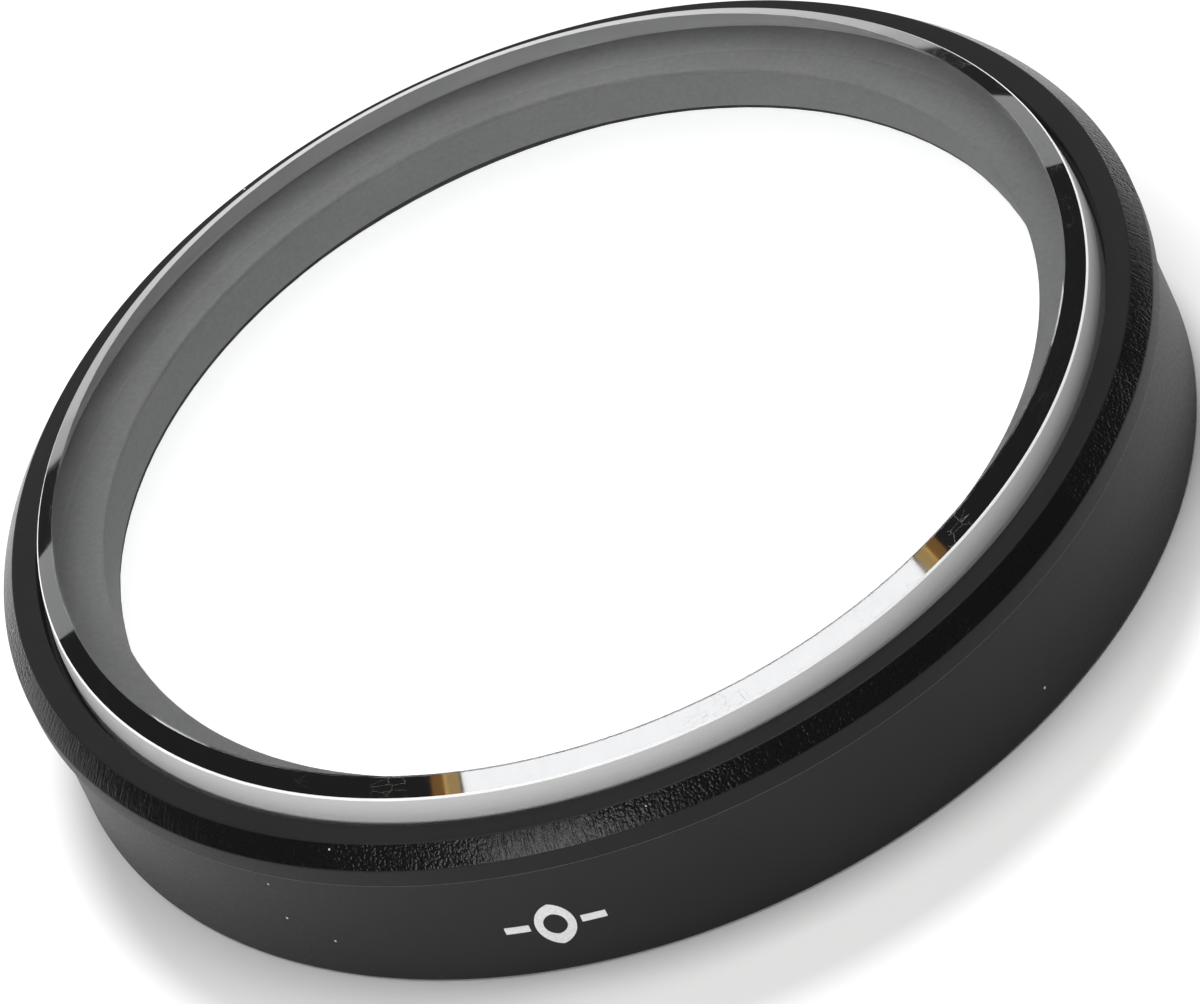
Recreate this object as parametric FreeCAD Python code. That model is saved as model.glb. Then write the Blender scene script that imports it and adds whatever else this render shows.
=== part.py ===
import FreeCAD, Part
import math
import os

# Loupe lens cell: a short black ring mount with two plano-convex lenses.
# All lengths in millimetres. The optical axis is +Z, the eye side (front lens)
# is up, and the cell stands on the rear end of its barrel at z = 0. The origin is
# on the axis in the plane of that rear end. Every ring is turned about Z.

# ---- front bezel ring (screws over the neck of the barrel) ----
RIM_R = 14.00            # widest radius of the whole cell
RIM_Z0 = 3.31            # lower edge of the rim band
RIM_Z1 = 3.83            # upper edge of the rim band, where the bevel starts
FACE_R = 13.60           # outer edge of the flat front face
FACE_Z = 4.34            # height of the flat front face
LIP_R = 13.02            # inner edge of the front face
LIP_UNDER_Z = 4.06       # underside of the lip, above the neck
TONGUE_R = 13.15         # pressing tongue that bears on the slip ring
TONGUE_Z = 3.96
BEZEL_THREAD_R = 13.50   # plain stand-in for the female thread
EDGE_ROUND = 0.05        # broken edges of the bezel
THREAD_PITCH = 0.35
THREAD_TURNS = 1.75

# ---- barrel ----
WALL_R = 13.78           # outer wall, just inside the rim band
WALL_Z1 = 3.29           # shoulder under the rim band
NECK_R = 13.47           # plain stand-in for the male thread
NECK_Z1 = 4.00
NECK_BORE_R = 13.20      # counterbore in the neck for gasket and slip ring
GASKET_SEAT_Z = 3.60
LENS_BORE_R = 12.90      # bore around the front lens
SHOULDER_R = 11.38       # clear aperture of the inner shoulder
SHOULDER_Z0 = 1.89       # rear side of the shoulder
SHOULDER_Z1 = 3.15       # front side of the shoulder
REAR_BORE_R = 12.75      # bore around the rear lens
REAR_THREAD_R = 13.17    # plain stand-in for the rear female thread
REAR_THREAD_Z = 0.78
REAR_ROUND = 0.12        # broken outer edge at the rear

# ---- front lens ----
FL_R = 12.87
FL_Z0 = 3.27             # rear land
FL_TOP_R = 12.77         # the ground edge tapers slightly above the face
FL_TOP_Z = 4.92
FL_BEVEL_R = 12.31       # inner edge of the polished bevel
FL_FRONT_Z = 5.19        # flat front face
FL_POWER_R = 11.30       # rim of the convex rear surface
FL_SAG = 0.40

# ---- rear lens ----
RL_R = 12.72
RL_Z0 = 0.75
RL_Z1 = 1.77
RL_POWER_R = 11.30
RL_SAG = 0.40
RL_CHAMFER = 0.12

# ---- rear retaining ring ----
RR_R = 13.15
RR_IN = 12.55
RR_Z0 = 0.15
RR_Z1 = 0.75
RR_SLOTS = 4
RR_SLOT_W = 0.80
RR_SLOT_D = 0.28

# ---- soft rings ----
GASKET_IN, GASKET_OUT = 12.875, 13.19
GASKET_Z0, GASKET_Z1 = 3.60, 3.84
SLIP_IN, SLIP_OUT = 12.93, 13.16
SLIP_Z0, SLIP_Z1 = 3.84, 3.96
FSEAT_IN, FSEAT_OUT = 11.38, 12.88
RSEAT_IN, RSEAT_OUT = 11.40, 12.70

# ---- white mark set into the wall ----
MARK_AZ = -112.1         # direction of the mark's middle, degrees from +X
MARK_Z = 1.47            # height of its middle
MARK_H = 1.26            # height of the lens outline
MARK_W = 0.96            # width of the lens outline
MARK_STROKE = 0.20
MARK_BAR_IN = 0.62       # the axis bars run from here ...
MARK_BAR_OUT = 1.22      # ... to here, on both sides
MARK_DEPTH = 0.08

Z = FreeCAD.Vector(0, 0, 1)
O = FreeCAD.Vector(0, 0, 0)


def V(r, z):
    return FreeCAD.Vector(r, 0, z)


def turned(points):
    """Ring or disc turned about Z. A point is (r, z), or (r, z, mid_r, mid_z) for
    an arc that reaches it through the middle point given."""
    edges = []
    n = len(points)
    for i in range(n):
        a = points[i]
        b = points[(i + 1) % n]
        if len(b) == 4:
            edges.append(Part.Arc(V(a[0], a[1]), V(b[2], b[3]), V(b[0], b[1])).toShape())
        else:
            edges.append(Part.makeLine(V(a[0], a[1]), V(b[0], b[1])))
    face = Part.Face(Part.Wire(edges))
    solid = face.revolve(O, Z, 360)
    if solid.Volume < 0:
        solid.reverse()
    return solid


def arc_mid(p, q, sag_point_on_axis_z, rim_r, rim_z):
    """Middle point of a meridian arc from the rim to the axis."""
    h = abs(sag_point_on_axis_z - rim_z)
    rad = (rim_r * rim_r + h * h) / (2 * h)
    rm = 0.5 * (p[0] + q[0])
    drop = rad - math.sqrt(rad * rad - rm * rm)
    sign = 1 if rim_z > sag_point_on_axis_z else -1
    return rm, sag_point_on_axis_z + sign * drop


def one(shape, name):
    """The single solid of a shape, checked."""
    solids = shape.Solids
    assert len(solids) >= 1, name
    for s in solids:
        assert s.isValid() and s.Volume > 0, name
    return solids[0] if len(solids) == 1 else Part.makeCompound(solids)


# ---------------------------------------------------------------- barrel
k = REAR_ROUND
q = k * (1 - math.sqrt(0.5))
barrel = turned([
    (WALL_R - k, 0.0),
    (WALL_R, k, WALL_R - q, q),
    (WALL_R, WALL_Z1 - 0.03),
    (WALL_R - 0.03, WALL_Z1),
    (NECK_R, WALL_Z1),
    (NECK_R, NECK_Z1 - 0.06),
    (NECK_R - 0.06, NECK_Z1),
    (NECK_BORE_R, NECK_Z1),
    (NECK_BORE_R, GASKET_SEAT_Z),
    (LENS_BORE_R, GASKET_SEAT_Z),
    (LENS_BORE_R, SHOULDER_Z1),
    (SHOULDER_R, SHOULDER_Z1),
    (SHOULDER_R, SHOULDER_Z0),
    (REAR_BORE_R, SHOULDER_Z0),
    (REAR_BORE_R, REAR_THREAD_Z),
    (REAR_THREAD_R, REAR_THREAD_Z),
    (REAR_THREAD_R, 0.06),
    (REAR_THREAD_R + 0.06, 0.0),
])

# ---------------------------------------------------------------- bezel ring
e = EDGE_ROUND
bevel = math.hypot(RIM_R - FACE_R, FACE_Z - RIM_Z1)
ux, uz = (FACE_R - RIM_R) / bevel, (FACE_Z - RIM_Z1) / bevel


def blend(c, d0, d1, size):
    """Arc that breaks corner c, between the directions d0 (back along the profile)
    and d1 (forward), each cut by size."""
    p0 = (c[0] + d0[0] * size, c[1] + d0[1] * size)
    p1 = (c[0] + d1[0] * size, c[1] + d1[1] * size)
    dot = d0[0] * d1[0] + d0[1] * d1[1]
    half = 0.5 * math.acos(max(-1.0, min(1.0, dot)))
    bis = (d0[0] + d1[0], d0[1] + d1[1])
    nb = math.hypot(*bis)
    bis = (bis[0] / nb, bis[1] / nb)
    radius = size * math.tan(half)
    dist = size / math.cos(half) - radius
    m = (c[0] + bis[0] * dist, c[1] + bis[1] * dist)
    return p0, m, p1


a0, am, a1 = blend((RIM_R, RIM_Z0), (-1, 0), (0, 1), e)
b0, bm, b1 = blend((RIM_R, RIM_Z1), (0, -1), (ux, uz), e)
c0, cm, c1 = blend((FACE_R, FACE_Z), (-ux, -uz), (-1, 0), 0.03)
d0, dm, d1 = blend((LIP_R, FACE_Z), (1, 0), (0, -1), 0.03)
bezel_ring = turned([
    a0,
    (a1[0], a1[1], am[0], am[1]),
    b0,
    (b1[0], b1[1], bm[0], bm[1]),
    c0,
    (c1[0], c1[1], cm[0], cm[1]),
    d0,
    (d1[0], d1[1], dm[0], dm[1]),
    (LIP_R, TONGUE_Z),
    (TONGUE_R, TONGUE_Z),
    (TONGUE_R, LIP_UNDER_Z),
    (BEZEL_THREAD_R, LIP_UNDER_Z),
    (BEZEL_THREAD_R, RIM_Z0 + 0.06),
    (BEZEL_THREAD_R + 0.06, RIM_Z0),
])

# ---------------------------------------------------------------- lenses
rim = (FL_POWER_R, FL_Z0)
apex = (0.0, FL_Z0 - FL_SAG)
mr, mz = arc_mid(rim, apex, apex[1], *rim)
front_lens = turned([
    (0.0, FL_FRONT_Z),
    (0.0, apex[1]),
    (FL_POWER_R, FL_Z0, mr, mz),
    (FL_R - 0.05, FL_Z0),
    (FL_R, FL_Z0 + 0.05),
    (FL_R, FACE_Z - 0.05),
    (FL_TOP_R, FL_TOP_Z),
    (FL_BEVEL_R, FL_FRONT_Z),
])

rim = (RL_POWER_R, RL_Z1)
apex = (0.0, RL_Z1 + RL_SAG)
mr, mz = arc_mid(apex, rim, apex[1], *rim)
rear_lens = turned([
    (0.0, RL_Z0),
    (RL_R - RL_CHAMFER, RL_Z0),
    (RL_R, RL_Z0 + RL_CHAMFER),
    (RL_R, RL_Z1 - 0.05),
    (RL_R - 0.05, RL_Z1),
    (RL_POWER_R, RL_Z1),
    (0.0, apex[1], mr, mz),
])

# ---------------------------------------------------------------- rings
def flat_ring(r_in, r_out, z0, z1, c=0.02):
    return turned([
        (r_in + c, z0), (r_out - c, z0), (r_out, z0 + c), (r_out, z1 - c),
        (r_out - c, z1), (r_in + c, z1), (r_in, z1 - c), (r_in, z0 + c),
    ])


bezel_gasket = flat_ring(GASKET_IN, GASKET_OUT, GASKET_Z0, GASKET_Z1, 0.05)
slip_ring = flat_ring(SLIP_IN, SLIP_OUT, SLIP_Z0, SLIP_Z1)
front_seat_gasket = flat_ring(FSEAT_IN, FSEAT_OUT, SHOULDER_Z1, FL_Z0)
rear_seat_gasket = flat_ring(RSEAT_IN, RSEAT_OUT, RL_Z1, SHOULDER_Z0)

rear_retaining_ring = turned([
    (RR_IN, RR_Z0), (RR_R - 0.06, RR_Z0), (RR_R, RR_Z0 + 0.06), (RR_R, RR_Z1 - 0.04),
    (RR_R - 0.04, RR_Z1), (RR_IN, RR_Z1),
])
for i in range(RR_SLOTS):
    slot = Part.makeBox(3.0, RR_SLOT_W, RR_SLOT_D + 1.0,
                        FreeCAD.Vector(RR_IN - 1.0, -RR_SLOT_W / 2, RR_Z0 - 1.0))
    slot.rotate(O, Z, 45 + i * 360.0 / RR_SLOTS)
    rear_retaining_ring = rear_retaining_ring.cut(slot)

# ---------------------------------------------------------------- mark
# A lens outline with a short bar of its axis on either side: drawn flat, pushed
# through the wall and trimmed to a shallow shell, so that it ends flush.
def prism(wire):
    f = Part.Face(wire)
    return f.extrude(FreeCAD.Vector(2.0, 0, 0))


def lens_outline(w, h):
    """Two equal arcs meeting at the top and bottom, in the YZ plane."""
    top = FreeCAD.Vector(0, 0, h / 2)
    bot = FreeCAD.Vector(0, 0, -h / 2)
    right = FreeCAD.Vector(0, w / 2, 0)
    left = FreeCAD.Vector(0, -w / 2, 0)
    return Part.Wire([Part.Arc(bot, right, top).toShape(), Part.Arc(top, left, bot).toShape()])


def bar(y0, y1, h):
    return Part.makeBox(2.0, y1 - y0, h, FreeCAD.Vector(0, y0, -h / 2))


outer = prism(lens_outline(MARK_W, MARK_H))
inner = prism(lens_outline(MARK_W - 2 * MARK_STROKE, MARK_H - 3.2 * MARK_STROKE))
symbol = [outer.cut(inner),
          bar(MARK_BAR_IN, MARK_BAR_OUT, MARK_STROKE),
          bar(-MARK_BAR_OUT, -MARK_BAR_IN, MARK_STROKE)]
shell = Part.makeCylinder(WALL_R, WALL_Z1, O, Z).cut(
    Part.makeCylinder(WALL_R - MARK_DEPTH, WALL_Z1, O, Z))
strokes = []
for s in symbol:
    s.translate(FreeCAD.Vector(WALL_R - 1.0, 0, MARK_Z))
    s.rotate(O, Z, MARK_AZ)
    strokes += s.common(shell).Solids
wall_mark = Part.makeCompound(strokes)
for s in strokes:
    barrel = barrel.cut(s)

# ---------------------------------------------------------------- write
NODES = {
    "barrel": barrel,
    "bezel_ring": bezel_ring,
    "slip_ring": slip_ring,
    "bezel_gasket": bezel_gasket,
    "front_lens": front_lens,
    "front_seat_gasket": front_seat_gasket,
    "rear_lens": rear_lens,
    "rear_seat_gasket": rear_seat_gasket,
    "rear_retaining_ring": rear_retaining_ring,
    "wall_mark": wall_mark,
}
os.makedirs("parts", exist_ok=True)
for name, shape in NODES.items():
    s = one(shape, name)
    s.exportStep("parts/" + name + ".step")
    b = s.BoundBox
    print("%-20s solids %d vol %9.3f  r %.3f  z %.3f..%.3f" % (
        name, len(s.Solids), s.Volume, b.XMax, b.ZMin, b.ZMax))
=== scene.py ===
import math
import bpy
import bmesh
from mathutils import Vector, Matrix


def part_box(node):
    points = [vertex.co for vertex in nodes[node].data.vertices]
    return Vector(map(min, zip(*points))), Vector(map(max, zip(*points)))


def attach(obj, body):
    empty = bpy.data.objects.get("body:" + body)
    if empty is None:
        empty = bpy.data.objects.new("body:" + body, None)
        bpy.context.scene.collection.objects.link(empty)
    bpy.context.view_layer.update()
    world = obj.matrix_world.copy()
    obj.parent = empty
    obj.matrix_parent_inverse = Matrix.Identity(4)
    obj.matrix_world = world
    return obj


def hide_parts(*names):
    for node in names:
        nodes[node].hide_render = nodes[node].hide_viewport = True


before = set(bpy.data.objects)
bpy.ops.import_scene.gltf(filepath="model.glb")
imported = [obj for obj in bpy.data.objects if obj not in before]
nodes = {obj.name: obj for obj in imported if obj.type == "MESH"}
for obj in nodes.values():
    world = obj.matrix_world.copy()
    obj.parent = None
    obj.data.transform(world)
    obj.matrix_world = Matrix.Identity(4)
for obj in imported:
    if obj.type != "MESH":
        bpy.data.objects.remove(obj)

# Looks for the loupe lens cell. Metres, row frame: optical axis +Z, front lens up,
# the cell stands on the rear end of its barrel at z = 0.

MM = 0.001
scene = bpy.context.scene
for name in ("Cube", "Light", "Camera"):
    if name in bpy.data.objects and bpy.data.objects[name] not in nodes.values():
        bpy.data.objects.remove(bpy.data.objects[name])
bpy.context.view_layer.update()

# ------------------------------------------------------------------ driving sizes
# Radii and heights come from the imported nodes' boxes; the inner steps of a
# profile that a box can't give repeat the CAD dimensions, in millimetres.
box = {n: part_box(n) for n in nodes}
RIM_R = box["bezel_ring"][1].x / MM
RIM_Z0 = box["bezel_ring"][0].z / MM
FACE_Z = box["bezel_ring"][1].z / MM
WALL_R = box["barrel"][1].x / MM
FL_R = box["front_lens"][1].x / MM
FL_FRONT_Z = box["front_lens"][1].z / MM
FL_APEX_Z = box["front_lens"][0].z / MM
RL_R = box["rear_lens"][1].x / MM
RL_Z0 = box["rear_lens"][0].z / MM
RL_APEX_Z = box["rear_lens"][1].z / MM
RIM_Z1, FACE_R, LIP_R = 3.83, 13.60, 13.02
SEG = 720


# ------------------------------------------------------------------ mesh helpers
def arc(cx, cz, r, a0, a1, n):
    """Points on a circle of a profile, angles in degrees."""
    return [(cx + r * math.cos(math.radians(a0 + (a1 - a0) * i / n)),
             cz + r * math.sin(math.radians(a0 + (a1 - a0) * i / n))) for i in range(n + 1)]


def rounded(points, radii, n=4):
    """A closed profile with each corner broken by a small arc. radii maps the
    corner's index to the length cut from both of its sides."""
    out = []
    m = len(points)
    for i, p in enumerate(points):
        s = radii.get(i, 0.0)
        if s <= 0:
            out.append(p)
            continue
        a, b = points[i - 1], points[(i + 1) % m]
        va = Vector((a[0] - p[0], a[1] - p[1])).normalized()
        vb = Vector((b[0] - p[0], b[1] - p[1])).normalized()
        p0 = Vector(p) + va * s
        p1 = Vector(p) + vb * s
        for k in range(n + 1):
            t = k / n
            q = p0 * (1 - t) ** 2 + Vector(p) * 2 * t * (1 - t) + p1 * t ** 2
            out.append((q.x, q.y))
    return out


def lathe(name, profile, seg=SEG, slots=None, sharp=24.0, warp=None):
    """A closed ring or disc turned about Z from a closed profile of (r, z) in
    millimetres. slots gives the material index of each profile side; warp, when
    given, returns the radius at (r, z, angle)."""
    bm = bmesh.new()
    n = len(profile)
    rings = []
    for r, z in profile:
        if r < 1e-6:
            rings.append([bm.verts.new((0, 0, z * MM))])
        else:
            row = []
            for k in range(seg):
                a = 2 * math.pi * k / seg
                rr = warp(r, z, a) if warp else r
                row.append(bm.verts.new((rr * MM * math.cos(a), rr * MM * math.sin(a), z * MM)))
            rings.append(row)
    for i in range(n):
        a, b = rings[i], rings[(i + 1) % n]
        if len(a) == 1 and len(b) == 1:
            continue
        for k in range(seg):
            k2 = (k + 1) % seg
            if len(a) == 1:
                f = bm.faces.new((a[0], b[k], b[k2]))
            elif len(b) == 1:
                f = bm.faces.new((a[k], b[0], a[k2]))
            else:
                f = bm.faces.new((a[k], b[k], b[k2], a[k2]))
            f.smooth = True
            if slots:
                f.material_index = slots[i]
    bmesh.ops.recalc_face_normals(bm, faces=bm.faces)
    me = bpy.data.meshes.new(name)
    bm.to_mesh(me)
    bm.free()
    me.set_sharp_from_angle(angle=math.radians(sharp))
    ob = bpy.data.objects.new(name, me)
    scene.collection.objects.link(ob)
    return ob


# ------------------------------------------------------------------ node helpers
class Nodes:
    def __init__(self, name):
        self.mat = bpy.data.materials.new(name)
        self.mat.use_nodes = True
        self.t = self.mat.node_tree
        for n in list(self.t.nodes):
            self.t.nodes.remove(n)
        self.out = self.t.nodes.new("ShaderNodeOutputMaterial")
        self.bsdf = self.t.nodes.new("ShaderNodeBsdfPrincipled")
        self.link(self.bsdf.outputs[0], self.out.inputs["Surface"])

    def node(self, kind, **kw):
        n = self.t.nodes.new(kind)
        for k, v in kw.items():
            setattr(n, k, v)
        return n

    def link(self, a, b):
        self.t.links.new(a, b)

    def val(self, node, socket, v):
        if hasattr(v, "is_linked") or isinstance(v, bpy.types.NodeSocket):
            self.link(v, node.inputs[socket])
        else:
            node.inputs[socket].default_value = v

    def math(self, op, a, b=None, c=None, clamp=False):
        n = self.node("ShaderNodeMath", operation=op)
        n.use_clamp = clamp
        self.val(n, 0, a)
        if b is not None:
            self.val(n, 1, b)
        if c is not None:
            self.val(n, 2, c)
        return n.outputs[0]

    def noise(self, vec, scale, detail=3.0, rough=0.5, dist=0.0, out="Fac"):
        n = self.node("ShaderNodeTexNoise")
        self.link(vec, n.inputs["Vector"])
        n.inputs["Scale"].default_value = scale
        n.inputs["Detail"].default_value = detail
        n.inputs["Roughness"].default_value = rough
        n.inputs["Distortion"].default_value = dist
        return n.outputs[out]

    def voronoi(self, vec, scale, feature="F1", out="Distance", randomness=1.0):
        n = self.node("ShaderNodeTexVoronoi", feature=feature)
        self.link(vec, n.inputs["Vector"])
        n.inputs["Scale"].default_value = scale
        n.inputs["Randomness"].default_value = randomness
        return n.outputs[out]

    def ramp(self, fac, stops, interp="LINEAR"):
        n = self.node("ShaderNodeValToRGB")
        n.color_ramp.interpolation = interp
        el = n.color_ramp.elements
        while len(el) > 1:
            el.remove(el[-1])
        el[0].position = stops[0][0]
        el[0].color = stops[0][1]
        for p, c in stops[1:]:
            e = el.new(p)
            e.color = c
        self.link(fac, n.inputs["Fac"])
        return n.outputs["Color"]

    def mix(self, fac, a, b, blend="MIX"):
        n = self.node("ShaderNodeMix", data_type="RGBA", blend_type=blend)
        self.val(n, 0, fac)
        self.val(n, 6, a)
        self.val(n, 7, b)
        return n.outputs[2]

    def maprange(self, v, a, b, c, d):
        n = self.node("ShaderNodeMapRange")
        self.val(n, "Value", v)
        n.inputs["From Min"].default_value = a
        n.inputs["From Max"].default_value = b
        n.inputs["To Min"].default_value = c
        n.inputs["To Max"].default_value = d
        return n.outputs[0]

    def obj(self):
        return self.node("ShaderNodeTexCoord").outputs["Object"]

    def cyl(self, radius=0.014):
        """(arc length, height, radius) from the object's own coordinates, all in
        millimetres, so that grain has one size all round a ring."""
        sep = self.node("ShaderNodeSeparateXYZ")
        self.link(self.obj(), sep.inputs[0])
        ang = self.math("ARCTAN2", sep.outputs[1], sep.outputs[0])
        u = self.math("MULTIPLY", ang, radius / MM)
        r = self.math("SQRT", self.math("ADD", self.math("POWER", sep.outputs[0], 2.0),
                                        self.math("POWER", sep.outputs[1], 2.0)))
        r = self.math("MULTIPLY", r, 1 / MM)
        z = self.math("MULTIPLY", sep.outputs[2], 1 / MM)
        return u, z, r

    def vec(self, x, y, z=0.0):
        n = self.node("ShaderNodeCombineXYZ")
        self.val(n, 0, x)
        self.val(n, 1, y)
        self.val(n, 2, z)
        return n.outputs[0]

    def bump(self, height, strength, distance, normal=None):
        n = self.node("ShaderNodeBump")
        n.inputs["Strength"].default_value = strength
        n.inputs["Distance"].default_value = distance
        self.link(height, n.inputs["Height"])
        if normal is not None:
            self.link(normal, n.inputs["Normal"])
        return n.outputs[0]

    def set(self, **kw):
        for k, v in kw.items():
            self.val(self.bsdf, k.replace("_", " "), v)
        return self.mat


def grey(v, a=1.0):
    return (v, v, v, a)


def dust(m, vec, base, scale=1.6, size=0.035, keep=0.80):
    """A few small pale specks: Voronoi cells of which only a few are kept."""
    vo = m.node("ShaderNodeTexVoronoi", feature="F1")
    m.link(vec, vo.inputs["Vector"])
    vo.inputs["Scale"].default_value = scale
    sep = m.node("ShaderNodeSeparateColor")
    m.link(vo.outputs["Color"], sep.inputs[0])
    chosen = m.math("GREATER_THAN", sep.outputs[0], keep)
    small = m.math("LESS_THAN", vo.outputs["Distance"], size * scale)
    spot = m.math("MULTIPLY", chosen, small)
    return m.mix(spot, base, grey(0.55)), spot


# ------------------------------------------------------------------ materials
def satin_black(name, base=0.035, rough=0.42, specks=True, level=0.5):
    """Fine-textured moulded black: a satin with a very fine even grain, faint
    cloudiness and a few dust specks."""
    m = Nodes(name)
    u, z, r = m.cyl()
    v3 = m.vec(u, z, r)
    cloud = m.noise(v3, 0.35, 4.0, 0.55)
    grain = m.noise(v3, 26.0, 2.0, 0.6)
    col = m.mix(m.maprange(cloud, 0.3, 0.7, 0.0, 1.0), grey(base * 0.9), grey(base * 1.12))
    col = m.mix(m.maprange(grain, 0.35, 0.65, 0.0, 0.3), col, grey(base * 1.35))
    if specks:
        col, spot = dust(m, v3, col)
    rgh = m.maprange(m.noise(v3, 9.0, 3.0, 0.6), 0.3, 0.7, rough - 0.05, rough + 0.06)
    m.set(Base_Color=col, Roughness=rgh, Normal=m.bump(grain, 0.25, 0.000004))
    m.bsdf.inputs["Specular IOR Level"].default_value = level
    return m.mat


def grained_gloss(name):
    """The bezel's bevel: glossy black with a fine pebbled leather grain that
    drifts into crosswise wrinkles and back."""
    m = Nodes(name)
    u, z, r = m.cyl()
    wob = m.noise(m.vec(u, z, r), 3.0, 3.0, 0.6)
    uu = m.math("ADD", u, m.math("MULTIPLY", wob, 0.16))
    v1 = m.vec(uu, m.math("MULTIPLY", z, 0.85), m.math("MULTIPLY", r, 0.85))
    d = m.voronoi(v1, 13.5, "F1")
    pebble = m.math("SUBTRACT", 1.0, m.math("MULTIPLY", m.math("POWER", d, 2.0), 1.8))
    v2 = m.vec(m.math("MULTIPLY", uu, 1.15), m.math("MULTIPLY", z, 0.16), m.math("MULTIPLY", r, 0.16))
    wrinkle = m.noise(v2, 11.0, 3.0, 0.62, 0.35)
    fine = m.noise(v1, 34.0, 2.0, 0.6)
    drift = m.maprange(m.noise(m.vec(u, z, r), 0.16, 2.0, 0.5), 0.44, 0.56, 0.0, 1.0)
    h = m.mix(drift, pebble, m.math("MULTIPLY", wrinkle, 1.5))
    h = m.math("ADD", h, m.math("MULTIPLY", fine, 0.22))
    col = m.mix(m.maprange(fine, 0.3, 0.7, 0.0, 1.0), grey(0.004), grey(0.008))
    col, spot = dust(m, m.vec(u, z, r), col, 1.9, 0.028, 0.86)
    m.set(Base_Color=col, Roughness=m.maprange(fine, 0.3, 0.7, 0.14, 0.25), Normal=m.bump(h, 0.75, 0.000013))
    m.bsdf.inputs["Specular IOR Level"].default_value = 0.16
    return m.mat


def interior_black(name, base=0.05, level=0.12):
    m = Nodes(name)
    u, z, r = m.cyl()
    v3 = m.vec(u, z, r)
    n1 = m.noise(v3, 7.0, 4.0, 0.6)
    col = m.mix(m.maprange(n1, 0.3, 0.7, 0.0, 1.0), grey(base * 0.93), grey(base * 1.08))
    m.set(Base_Color=col, Roughness=0.55, Normal=m.bump(m.noise(v3, 30.0, 2.0, 0.5), 0.2, 0.000003))
    m.bsdf.inputs["Specular IOR Level"].default_value = level
    return m.mat


def clear_glass(name):
    m = Nodes(name)
    u, z, r = m.cyl()
    v3 = m.vec(m.math("MULTIPLY", u, 1.0), z, r)
    # polish: almost nothing, with the faintest haze of handling
    haze = m.maprange(m.noise(v3, 0.5, 4.0, 0.6), 0.45, 0.8, 0.0, 0.012)
    m.set(Base_Color=(0.985, 0.99, 0.99, 1.0), Roughness=haze)
    m.bsdf.inputs["Transmission Weight"].default_value = 1.0
    m.bsdf.inputs["IOR"].default_value = 1.52
    return m.mat


def bevel_mirror(name):
    """The polished bevel round the front face: a dark mirror, which shows the
    soft light overhead as white and the dim studio as black, with a faint
    crazing where the polish stops short."""
    m = Nodes(name)
    u, z, r = m.cyl()
    wob = m.noise(m.vec(u, z, r), 1.6, 3.0, 0.6)
    lines = m.voronoi(m.vec(m.math("MULTIPLY", u, 0.9), m.math("MULTIPLY", z, 2.2), m.math("MULTIPLY", r, 2.2)),
                      2.6, "DISTANCE_TO_EDGE")
    line = m.math("LESS_THAN", lines, 0.012)
    where = m.math("GREATER_THAN", m.noise(m.vec(u, z, r), 0.7, 2.0, 0.5), 0.55)
    mark = m.math("MULTIPLY", line, where)
    tint = m.mix(wob, (0.168, 0.170, 0.172, 1.0), (0.186, 0.188, 0.190, 1.0))
    m.set(Base_Color=m.mix(m.math("MULTIPLY", mark, 0.3), tint, grey(0.30)),
          Roughness=m.math("ADD", m.maprange(wob, 0.3, 0.7, 0.02, 0.05), m.math("MULTIPLY", mark, 0.22)))
    m.bsdf.inputs["Metallic"].default_value = 1.0
    return m.mat


def ground_glass(name, base):
    """The lens's edge as ground: pale and matt, with fine turning lines."""
    m = Nodes(name)
    u, z, r = m.cyl()
    lines = m.noise(m.vec(m.math("MULTIPLY", u, 0.05), m.math("MULTIPLY", z, 1.0), r), 38.0, 3.0, 0.6)
    pits = m.noise(m.vec(u, z, r), 30.0, 3.0, 0.7)
    mixn = m.math("ADD", m.math("MULTIPLY", lines, 0.5), m.math("MULTIPLY", pits, 0.5))
    col = m.mix(m.maprange(mixn, 0.35, 0.65, 0.0, 1.0), grey(base * 0.94), grey(min(1.0, base * 1.04)))
    m.set(Base_Color=col, Roughness=m.maprange(pits, 0.3, 0.7, 0.48, 0.62),
          Normal=m.bump(mixn, 0.25, 0.000004))
    m.bsdf.inputs["IOR"].default_value = 1.52
    m.bsdf.inputs["Specular IOR Level"].default_value = 0.25
    return m.mat


def white_ink(name):
    m = Nodes(name)
    u, z, r = m.cyl()
    v3 = m.vec(u, z, r)
    n1 = m.noise(v3, 14.0, 4.0, 0.65)
    col = m.mix(m.maprange(n1, 0.3, 0.72, 0.0, 1.0), grey(0.70), grey(0.92))
    m.set(Base_Color=col, Roughness=m.maprange(n1, 0.3, 0.7, 0.42, 0.6),
          Normal=m.bump(m.noise(v3, 22.0, 3.0, 0.6), 0.4, 0.000005))
    return m.mat


def rubber(name):
    m = Nodes(name)
    u, z, r = m.cyl()
    v3 = m.vec(u, z, r)
    n1 = m.noise(v3, 12.0, 4.0, 0.6)
    m.set(Base_Color=m.mix(n1, grey(0.010), grey(0.020)), Roughness=m.maprange(n1, 0.3, 0.7, 0.55, 0.75),
          Normal=m.bump(n1, 0.3, 0.000006))
    return m.mat


def anodised(name):
    """Turned and black-anodised: fine rings round the axis."""
    m = Nodes(name)
    u, z, r = m.cyl()
    rings = m.noise(m.vec(m.math("MULTIPLY", u, 0.03), m.math("MULTIPLY", z, 1.0), r), 22.0, 3.0, 0.6)
    col = m.mix(rings, grey(0.018), grey(0.034))
    m.set(Base_Color=col, Roughness=m.maprange(rings, 0.3, 0.7, 0.26, 0.40),
          Normal=m.bump(rings, 0.35, 0.000006))
    m.bsdf.inputs["Metallic"].default_value = 0.35
    return m.mat


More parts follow.
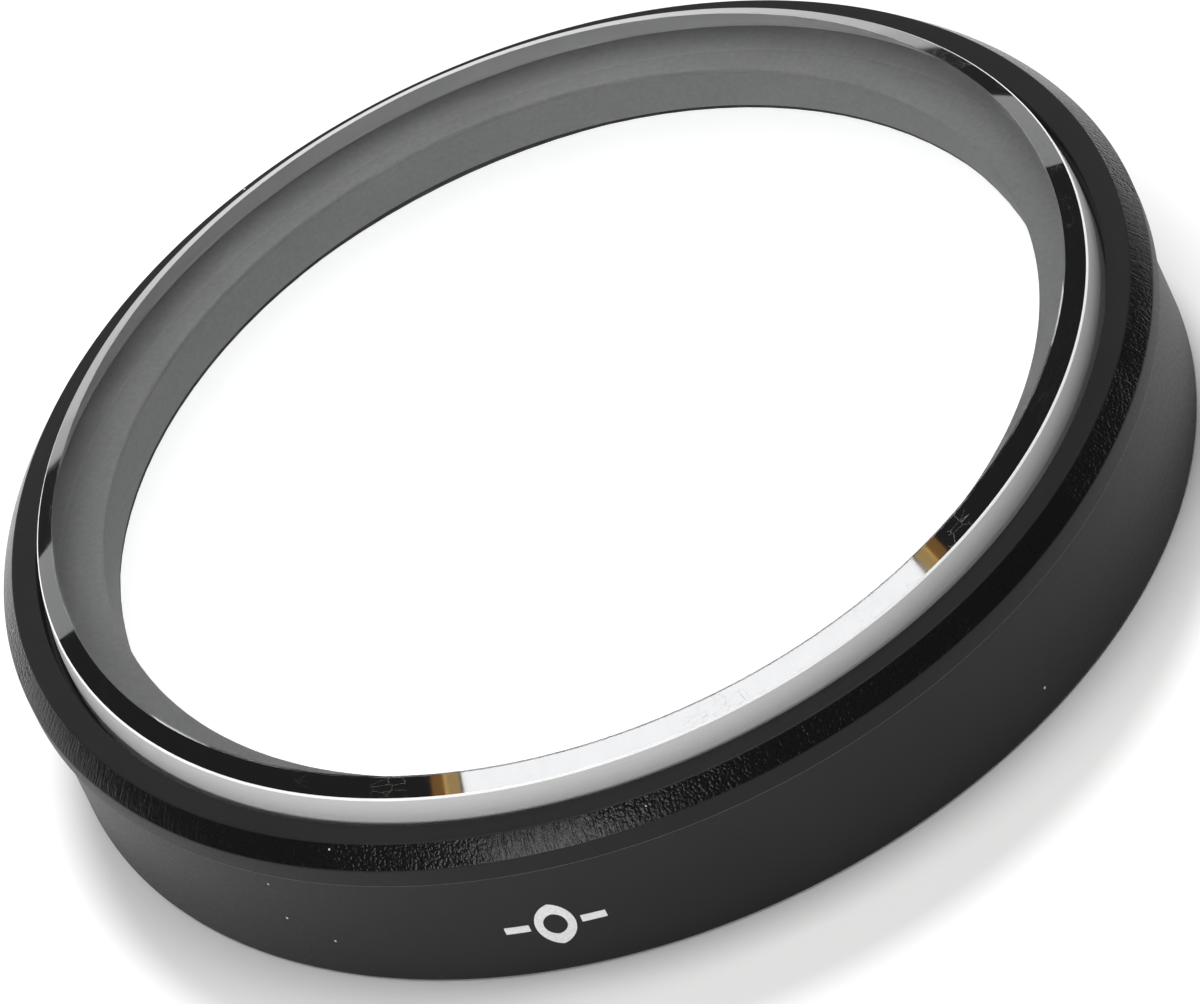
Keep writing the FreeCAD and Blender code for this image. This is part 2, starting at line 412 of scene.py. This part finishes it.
M_WALL = satin_black("satin_black_wall", 0.013, 0.44, level=0.25)
M_FACE = satin_black("satin_black_face", 0.010, 0.48, level=0.20)
# The rim's lower rounding: the same satin black made paler (0.060 against 0.010-0.013), a painted highlight for the
# light line along that edge.
M_EDGE_HIGHLIGHT = satin_black("satin_black_edge_painted_highlight", 0.060, 0.40, True, level=0.45)
M_BEVEL = grained_gloss("grained_gloss_bevel")
# The bore and the front seat are black parts given a mid-grey colour (0.33, 0.35): painted light, standing in for the
# light these far inner walls catch through the lens.
M_BORE_LIT_GREY = interior_black("black_bore_painted_lit_grey", 0.33)
M_SEAT_LIT_GREY = interior_black("black_seat_painted_lit_grey", 0.35)
M_GLASS = clear_glass("polished_glass")
M_GROUND = ground_glass("ground_glass_edge", 0.68)
# The fine ground chamfer: ground glass, pale in its own right, here made paler than the ground edge (0.94 against 0.68)
# as a painted highlight for the bright line at the bevel's outer edge.
M_CHAMFER_HIGHLIGHT = ground_glass("ground_glass_chamfer_painted_highlight", 0.94)
M_POLISH = bevel_mirror("polished_bevel")
M_INK = white_ink("white_ink")
M_RUBBER = rubber("black_gasket")
M_RING = anodised("anodised_ring")
M_SLIP = satin_black("slip_ring_black", 0.012, 0.5, False)

# ------------------------------------------------------------------ barrel
NECK_R, NECK_Z1, WALL_Z1 = 13.47, 4.00, 3.29
barrel_pts = [
    (WALL_R, 0.0),            # 0 rear outer corner
    (WALL_R, WALL_Z1),        # 1
    (NECK_R, WALL_Z1),        # 2
    (NECK_R, NECK_Z1),        # 3
    (13.20, NECK_Z1),         # 4
    (13.20, 3.60),            # 5
    (12.90, 3.60),            # 6
    (12.90, 3.15),            # 7
    (11.38, 3.15),            # 8
    (11.38, 1.89),            # 9
    (12.75, 1.89),            # 10
    (12.75, 0.78),            # 11
    (13.17, 0.78),            # 12
    (13.17, 0.0),             # 13
]
barrel_prof = rounded(barrel_pts, {0: 0.12, 1: 0.03, 3: 0.06, 8: 0.03, 9: 0.03, 13: 0.06}, 5)
# the bezel's thread, cut into the neck: a groove 0.14 deep, one turn per 0.35
PITCH, TH_Z0, TH_Z1, TH_DEPTH = 0.35, 3.36, 3.92, 0.14
TH_N = 32
i = max(k for k, p in enumerate(barrel_prof) if abs(p[0] - NECK_R) < 1e-6 and abs(p[1] - WALL_Z1) < 1e-6)
barrel_prof[i + 1:i + 1] = [(NECK_R, TH_Z0 - 0.03 + (TH_Z1 - TH_Z0 + 0.04) * k / TH_N) for k in range(TH_N + 1)]


def neck_thread(r, z, a):
    if abs(r - NECK_R) > 1e-6 or z < TH_Z0 or z > TH_Z1:
        return r
    ph = ((z - PITCH * a / (2 * math.pi)) / PITCH) % 1.0
    tri = 1.0 - abs(2.0 * ph - 1.0)
    fade = min(1.0, (z - TH_Z0) / 0.05, (TH_Z1 - z) / 0.05)
    return r - TH_DEPTH * max(0.0, min(1.0, 1.25 * tri - 0.12)) * fade



def slots_for(profile, fn):
    n = len(profile)
    out = []
    for i in range(n):
        a, b = profile[i], profile[(i + 1) % n]
        out.append(fn((a[0] + b[0]) / 2, (a[1] + b[1]) / 2, b[0] - a[0], b[1] - a[1]))
    return out


barrel = lathe("barrel_body", barrel_prof, warp=neck_thread,
               slots=slots_for(barrel_prof, lambda r, z, dr, dz: 0 if r > 13.4 or z < 0.05 else 1))
barrel.data.materials.append(M_WALL)
# slot 1, the bore, takes the mid-grey of painted light
barrel.data.materials.append(M_BORE_LIT_GREY)
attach(barrel, "barrel")
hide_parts("barrel")

# ------------------------------------------------------------------ bezel ring
bez_pts = [
    (RIM_R, RIM_Z0),          # 0
    (RIM_R, RIM_Z1),          # 1
    (FACE_R, FACE_Z),         # 2
    (LIP_R, FACE_Z),          # 3
    (LIP_R, 3.96),            # 4
    (13.15, 3.96),            # 5
    (13.15, 4.06),            # 6
    (13.50, 4.06),            # 7
    (13.50, RIM_Z0),          # 8
]
bez_prof = rounded(bez_pts, {0: 0.07, 1: 0.035, 2: 0.03, 3: 0.03, 8: 0.06}, 5)


def bezel_slot(r, z, dr, dz):
    steep = abs(dz) > 0.2 * abs(dr) and abs(dr) > 0.2 * abs(dz)
    if RIM_Z1 + 0.02 < z < FACE_Z - 0.02 and r > FACE_R and steep:
        return 1
    # slot 2, the rim's lower rounding, takes the paler black of the painted edge highlight
    if z < RIM_Z0 + 0.07 and r > RIM_R - 0.07 and steep:
        return 2
    return 0


bezel = lathe("bezel_ring_body", bez_prof, slots=slots_for(bez_prof, bezel_slot))
bezel.data.materials.append(M_FACE)
bezel.data.materials.append(M_BEVEL)
bezel.data.materials.append(M_EDGE_HIGHLIGHT)
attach(bezel, "bezel")
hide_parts("bezel_ring")


# ------------------------------------------------------------------ lenses
def sphere_points(rim_r, rim_z, apex_z, n, from_axis):
    h = abs(apex_z - rim_z)
    rad = (rim_r ** 2 + h ** 2) / (2 * h)
    sgn = 1 if rim_z > apex_z else -1
    pts = []
    for i in range(n + 1):
        r = rim_r * i / n
        pts.append((r, apex_z + sgn * (rad - math.sqrt(rad * rad - r * r))))
    return pts if from_axis else pts[::-1]


fl = [(0.0, FL_FRONT_Z)] + sphere_points(11.30, 3.27, FL_APEX_Z, 40, True)
base = len(fl)
tail = [
    (FL_R - 0.05, 3.27),
    (FL_R, 3.32),
    (FL_R, FACE_Z - 0.05),
    (12.785, 4.875),          # ground edge ends
    (12.745, 4.925),          # ... in a fine ground chamfer
    (12.325, 5.170),          # polished bevel
    (12.290, FL_FRONT_Z),     # fine chamfer
]
fl = fl + tail


def fl_slot(r, z, dr, dz):
    # the fine chamfer takes the paler ground glass of the painted highlight
    if 4.87 < z < 4.93 and r > 12.7:
        return 2
    if r > 12.75 and 3.2 < z < 4.9:
        return 1
    if z > 4.93 and r > 12.33:
        return 3
    return 0


front = lathe("front_lens_glass", fl, slots=slots_for(fl, fl_slot), sharp=8.0)
front.data.materials.append(M_GLASS)
front.data.materials.append(M_GROUND)
front.data.materials.append(M_CHAMFER_HIGHLIGHT)
front.data.materials.append(M_POLISH)
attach(front, "barrel")
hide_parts("front_lens")

rl = [(0.0, RL_Z0), (RL_R - 0.12, RL_Z0), (RL_R, RL_Z0 + 0.12), (RL_R, 1.72), (RL_R - 0.05, 1.77)]
rl = rl + sphere_points(11.30, 1.77, RL_APEX_Z, 40, False)
rear = lathe("rear_lens_glass", rl, slots=slots_for(rl, lambda r, z, dr, dz: 1 if r > RL_R - 0.13 and z > RL_Z0 else 0),
             sharp=8.0)
rear.data.materials.append(M_GLASS)
rear.data.materials.append(M_GROUND)
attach(rear, "barrel")
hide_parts("rear_lens")

# ------------------------------------------------------------------ seats
# A hair of air is left between a gasket and the polished glass above it.
SEAT_GAP = 0.015
lo, hi = box["front_seat_gasket"]
seat = lathe("front_seat", rounded([(11.38, lo.z / MM), (hi.x / MM, lo.z / MM),
                                    (hi.x / MM, hi.z / MM - SEAT_GAP), (11.38, hi.z / MM - SEAT_GAP)],
                                   {0: 0.03, 1: 0.02, 2: 0.02, 3: 0.03}, 4))
# the seat takes the mid-grey of painted light
seat.data.materials.append(M_SEAT_LIT_GREY)
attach(seat, "barrel")
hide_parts("front_seat_gasket")

# ------------------------------------------------------------------ mark
MARK_AZ, MARK_Z = math.radians(-112.1), 1.47


def wrap(u, v, r):
    a = MARK_AZ + u / WALL_R
    return (r * MM * math.cos(a), r * MM * math.sin(a), (MARK_Z + v) * MM)


def lens_arc(w, h, n):
    """The two equal arcs of a lens outline, as one closed run of points."""
    rad = (h * h / 4 + w * w / 4) / w
    half = math.asin(h / 2 / rad)
    right = [(w / 2 - rad + rad * math.cos(-half + 2 * half * i / n),
              rad * math.sin(-half + 2 * half * i / n)) for i in range(n)]
    return right + [(-x, -y) for x, y in right]


def strip(bm, left, right, r0, r1, closed):
    """A band of ink between two runs of points, from radius r0 out to r1."""
    n = len(left)
    cols = [[bm.verts.new(wrap(*left[i], r1)), bm.verts.new(wrap(*right[i], r1)),
             bm.verts.new(wrap(*right[i], r0)), bm.verts.new(wrap(*left[i], r0))] for i in range(n)]
    for i in range(n if closed else n - 1):
        a, b = cols[i], cols[(i + 1) % n]
        for k in range(4):
            k2 = (k + 1) % 4
            bm.faces.new((a[k], a[k2], b[k2], b[k]))
    if not closed:
        bm.faces.new(cols[0][::-1])
        bm.faces.new(cols[-1])


bm = bmesh.new()
INK0, INK1 = WALL_R - 0.05, WALL_R + 0.010
strip(bm, lens_arc(0.96, 1.26, 40), lens_arc(0.56, 0.62, 40), INK0, INK1, True)
for sgn in (-1, 1):
    us = [sgn * (0.62 + 0.60 * i / 12) for i in range(13)]
    strip(bm, [(u, 0.10) for u in us], [(u, -0.10) for u in us], INK0, INK1, False)
bmesh.ops.recalc_face_normals(bm, faces=bm.faces)
me = bpy.data.meshes.new("printed_mark")
bm.to_mesh(me)
bm.free()
me.materials.append(M_INK)
mark = bpy.data.objects.new("printed_mark", me)
scene.collection.objects.link(mark)
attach(mark, "barrel")
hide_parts("wall_mark")

# ------------------------------------------------------------------ carried-over nodes
for name, mat in (("slip_ring", M_SLIP), ("bezel_gasket", M_RUBBER),
                  ("rear_seat_gasket", M_RUBBER), ("rear_retaining_ring", M_RING)):
    ob = nodes[name]
    for s in ob.material_slots:
        s.material = mat

# ------------------------------------------------------------------ floor, light, camera
floor_mat = Nodes("pale_floor")
fu, fz, fr = floor_mat.cyl()
# Painted light: inside the bore's radius the floor glows white (emission 1.1) though no lamp is there, so the view
# through the lenses reads white; outside it the floor is only lamp-lit.
floor_glow_under_bore = floor_mat.maprange(fr, 13.1, 13.4, 1.0, 0.0)
floor_mat.set(Base_Color=grey(0.86), Roughness=0.9,
              Emission_Strength=floor_mat.math("MULTIPLY_ADD", floor_glow_under_bore, 1.1, 0.0))
floor_mat.bsdf.inputs["Specular IOR Level"].default_value = 0.0
floor_mat.bsdf.inputs["Emission Color"].default_value = grey(1.0)
bm = bmesh.new()
bmesh.ops.create_grid(bm, x_segments=1, y_segments=1, size=3.0)
me = bpy.data.meshes.new("floor")
bm.to_mesh(me)
bm.free()
floor = bpy.data.objects.new("floor", me)
scene.collection.objects.link(floor)
floor.location = (0, 0, -0.00001)
me.materials.append(floor_mat.mat)

world = bpy.data.worlds.new("studio")
scene.world = world
world.use_nodes = True
wt = world.node_tree
bg = wt.nodes["Background"]
bg.inputs[0].default_value = (1, 1, 1, 1)
seen = wt.nodes.new("ShaderNodeLightPath")
lift = wt.nodes.new("ShaderNodeMath")
lift.operation = "MULTIPLY_ADD"
wt.links.new(seen.outputs["Is Camera Ray"], lift.inputs[0])
lift.inputs[1].default_value = 1.0
lift.inputs[2].default_value = 0.07
wt.links.new(lift.outputs[0], bg.inputs[1])

EL, ROLL, DIST, FPX = math.radians(39.141), math.radians(-25.423), 40.0 * RIM_R * MM, 24398.3
OX, OY = -24.74, -70.85
TARGET = Vector((0, 0, RIM_Z1 * MM))
fw = Vector((0, math.cos(EL), -math.sin(EL)))
rt = Vector((1, 0, 0))
up = rt.cross(fw)
right_r = rt * math.cos(ROLL) + up * math.sin(ROLL)
up_r = rt * -math.sin(ROLL) + up * math.cos(ROLL)
cam_data = bpy.data.cameras.new("camera")
cam_data.sensor_width = 36.0
cam_data.lens = FPX / 1200 * 36.0
cam_data.clip_start, cam_data.clip_end = 0.05, 20.0
cam = bpy.data.objects.new("camera", cam_data)
scene.collection.objects.link(cam)
pos = TARGET - fw * DIST - right_r * (OX / FPX * DIST) - up_r * (-OY / FPX * DIST)
rot = Matrix((right_r, up_r, -fw)).transposed()
cam.matrix_world = Matrix.Translation(pos) @ rot.to_4x4()
scene.camera = cam


def area(name, direction, dist, size, power, size_y=None, target=(0, 0, 0.003)):
    d = Vector(direction).normalized()
    data = bpy.data.lights.new(name, "AREA")
    data.shape = "RECTANGLE" if size_y else "DISK"
    data.size = size
    if size_y:
        data.size_y = size_y
    data.energy = power
    ob = bpy.data.objects.new(name, data)
    ob.location = Vector(target) + d * dist
    # the light's long side stays level
    side = Vector((0, 0, 1)).cross(d)
    side = side.normalized() if side.length > 0.2 else Vector((1, 0, 0))
    side = side if side.x >= 0 else -side
    side = (side - d * side.dot(d)).normalized()
    ob.matrix_world = Matrix.Translation(ob.location) @ Matrix((side, d.cross(side), d)).transposed().to_4x4()
    ob.visible_camera = False
    scene.collection.objects.link(ob)
    return ob


# A large softbox overhead: the polished bevel mirrors it on its near
# side and the dim room elsewhere. Its two ends are warmer.
key = area("key", (0.0, 0.0125, 1.0), 0.40, 0.378, 1.167, size_y=0.20)
for end, x, power, tint in (("end_in", 0.196, 0.0062, (1.0, 0.66, 0.24)),
                            ("end_out", 0.206, 0.0030, (1.0, 0.46, 0.08))):
    for sgn in (-1, 1):
        warm = area(end, (sgn * x, 0.008, 0.40), math.hypot(x, 0.40), 0.11, power, size_y=0.0115)
        warm.data.color = tint
# a smaller light from behind, only to throw the shadow forwards
shade = area("shade", (0.12, 0.85, 1.05), 0.50, 0.15, 1.8)
shade.visible_glossy = False
shade.visible_transmission = False
back = area("back", (0.0, 1.0, 0.36), 0.070, 0.12, 0.009, size_y=0.024)
back.visible_transmission = False
area("front", (-0.47, -0.67, 0.40), 0.40, 0.16, 0.64)

scene.cycles.max_bounces = 32
scene.cycles.transmission_bounces = 32
scene.cycles.glossy_bounces = 24
scene.cycles.diffuse_bounces = 5
scene.view_settings.view_transform = "Standard"
scene.view_settings.look = "None"
